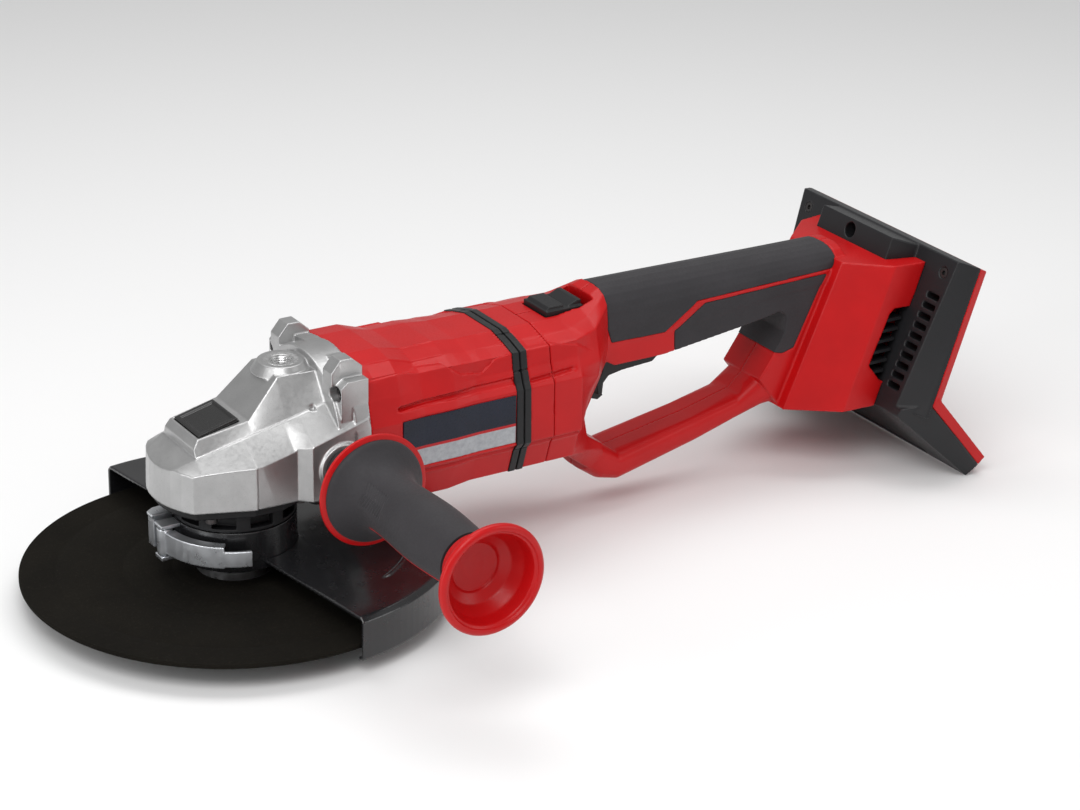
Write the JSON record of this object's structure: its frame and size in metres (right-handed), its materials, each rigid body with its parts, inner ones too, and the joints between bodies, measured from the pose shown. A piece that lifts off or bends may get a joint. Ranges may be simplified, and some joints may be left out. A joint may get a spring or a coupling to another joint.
{
  "type": "cordless angle grinder",
  "caption": "Large cordless angle grinder with cutting disc, half guard, side handle, turnable rear D-handle and a flared battery plate.",
  "frame": {"origin": "on the spindle axis at the outer face of the clamping nut, which is the centre of its spanner holes", "axes": "+X runs back along the motor from the gear head to the battery plate, -Y is the side the side handle is fitted to, +Z points from the disc up through the gear head"},
  "size_m": [0.5692, 0.3165, 0.1407],
  "materials": {
    "cast_aluminium": "satin, fine-cast",
    "black_cover": "satin",
    "dark_screws": "blackened",
    "bearing_steel": "polished",
    "bronze": "satin",
    "spring_steel": "satin",
    "button_black": "gloss",
    "gear_steel": "ground",
    "flange_steel": "turned",
    "abrasive": "rough",
    "ring_steel": "satin",
    "laminations": "satin",
    "fan_plastic": "satin",
    "copper": "enamelled",
    "red_plastic": "satin, fine-grained",
    "label": "gloss",
    "black_rubber": "matte",
    "link_plastic": "satin",
    "guard_paint": "gloss",
    "zinc": "zinc-plated",
    "handle_red": "satin",
    "soft_grip": "matte, fine-grained",
    "shell_red": "satin, fine-grained",
    "switch_grey": "satin",
    "control_black": "satin",
    "plate_black": "satin, fine-grained",
    "rear_red": "satin",
    "rail_black": "satin",
    "board_potting": "glossy resin",
    "sink_aluminium": "extruded"
  },
  "bodies": {
    "motor_unit": {"gear_case": "cast_aluminium", "bearing_cover": "black_cover", "case_screws": "dark_screws", "spindle_bearing": "bearing_steel", "spindle_bush": "bronze", "lock_spring": "spring_steel", "air_baffle": "fan_plastic", "stator": "laminations", "stator_coils": "copper", "front_bearing": "bearing_steel", "rear_bearing": "bearing_steel", "motor_housing": "red_plastic", "label_plate_left": "label", "label_plate_right": "label", "damping_rings": "black_rubber", "link_tube": "link_plastic", "rear_collar": "red_plastic", "side_handle_stud": "gear_steel", "side_handle_neck": "black_rubber", "side_handle_flange": "handle_red", "side_handle_core": "handle_red", "side_handle_cup": "handle_red", "side_handle_grip": "soft_grip"},
    "spindle": {"spindle": "gear_steel", "crown_wheel": "gear_steel", "crown_nut": "gear_steel", "inner_flange": "flange_steel", "cutting_disc": "abrasive", "disc_ring": "ring_steel", "clamping_nut": "flange_steel"},
    "rotor": {"rotor_shaft": "gear_steel", "pinion": "gear_steel", "rotor_core": "laminations", "fan": "fan_plastic"},
    "guard": {"guard_shell": "guard_paint", "guard_band": "guard_paint", "guard_hinge": "zinc", "guard_catch": "zinc"},
    "guard_lever": {"clamp_lever": "zinc"},
    "spindle_lock": {"lock_button": "button_black", "lock_pin": "gear_steel"},
    "rear_handle": {"handle_shell_left": "shell_red", "handle_shell_right": "shell_red", "shell_screws": "dark_screws", "soft_cover": "soft_grip", "grip_panels": "soft_grip", "trigger_pin": "gear_steel", "switch_body": "switch_grey", "battery_plate": "plate_black", "rear_plate": "rear_red", "battery_rails": "rail_black", "terminal_blocks": "rail_black", "plate_screws": "dark_screws", "vent_ribs": "plate_black", "control_board": "board_potting", "heat_sink": "sink_aluminium"},
    "handle_release": {"release_slider": "control_black"},
    "trigger": {"trigger_paddle": "control_black", "lock_off_pin": "gear_steel"},
    "lock_off": {"lock_off_tab": "control_black"}
  },
  "joints": [
    {"name": "spindle_spin", "type": "hinge", "parent": "motor_unit", "child": "spindle", "pos_m": [0, 0, 0], "axis": [0, 0, 1], "continuous": true},
    {"name": "rotor_spin", "type": "hinge", "parent": "motor_unit", "child": "rotor", "pos_m": [0, 0, 0.084], "axis": [1, 0, 0], "continuous": true},
    {"name": "guard_turn", "type": "hinge", "parent": "motor_unit", "child": "guard", "pos_m": [0, 0, 0.03], "axis": [0, 0, 1], "range_deg": [-60, 60]},
    {"name": "lever_open", "type": "hinge", "parent": "guard", "child": "guard_lever", "pos_m": [-0.0405, 0.0009, 0.035], "axis": [0, 0, -1], "range_deg": [0, 95]},
    {"name": "spindle_lock_press", "type": "slide", "parent": "motor_unit", "child": "spindle_lock", "axis": [0, 0, -1], "range_m": [0, 0.0035], "stiffness_N_per_m": 600, "springref_m": -0.003, "deforming": ["lock_spring"]},
    {"name": "handle_turn", "type": "hinge", "parent": "motor_unit", "child": "rear_handle", "pos_m": [0.174, 0, 0.084], "axis": [1, 0, 0], "range_deg": [-90, 90]},
    {"name": "handle_release_slide", "type": "slide", "parent": "rear_handle", "child": "handle_release", "axis": [1, 0, 0], "range_m": [0, 0.005], "stiffness_N_per_m": 500, "springref_m": -0.003},
    {"name": "trigger_pull", "type": "hinge", "parent": "rear_handle", "child": "trigger", "pos_m": [0.335, 0, 0.101], "axis": [0, 1, 0], "range_deg": [0, 4.5], "stiffness_Nm_per_rad": 3, "springref_deg": -8.59},
    {"name": "lock_off_draw", "type": "hinge", "parent": "trigger", "child": "lock_off", "pos_m": [0.236, 0, 0.084], "axis": [0, -1, 0], "range_deg": [0, 20], "stiffness_Nm_per_rad": 0.05, "springref_deg": -11.46}
  ],
  "couplings": [
    {"joint": "rotor_spin", "follows": "spindle_spin", "ratio": 3}
  ]
}
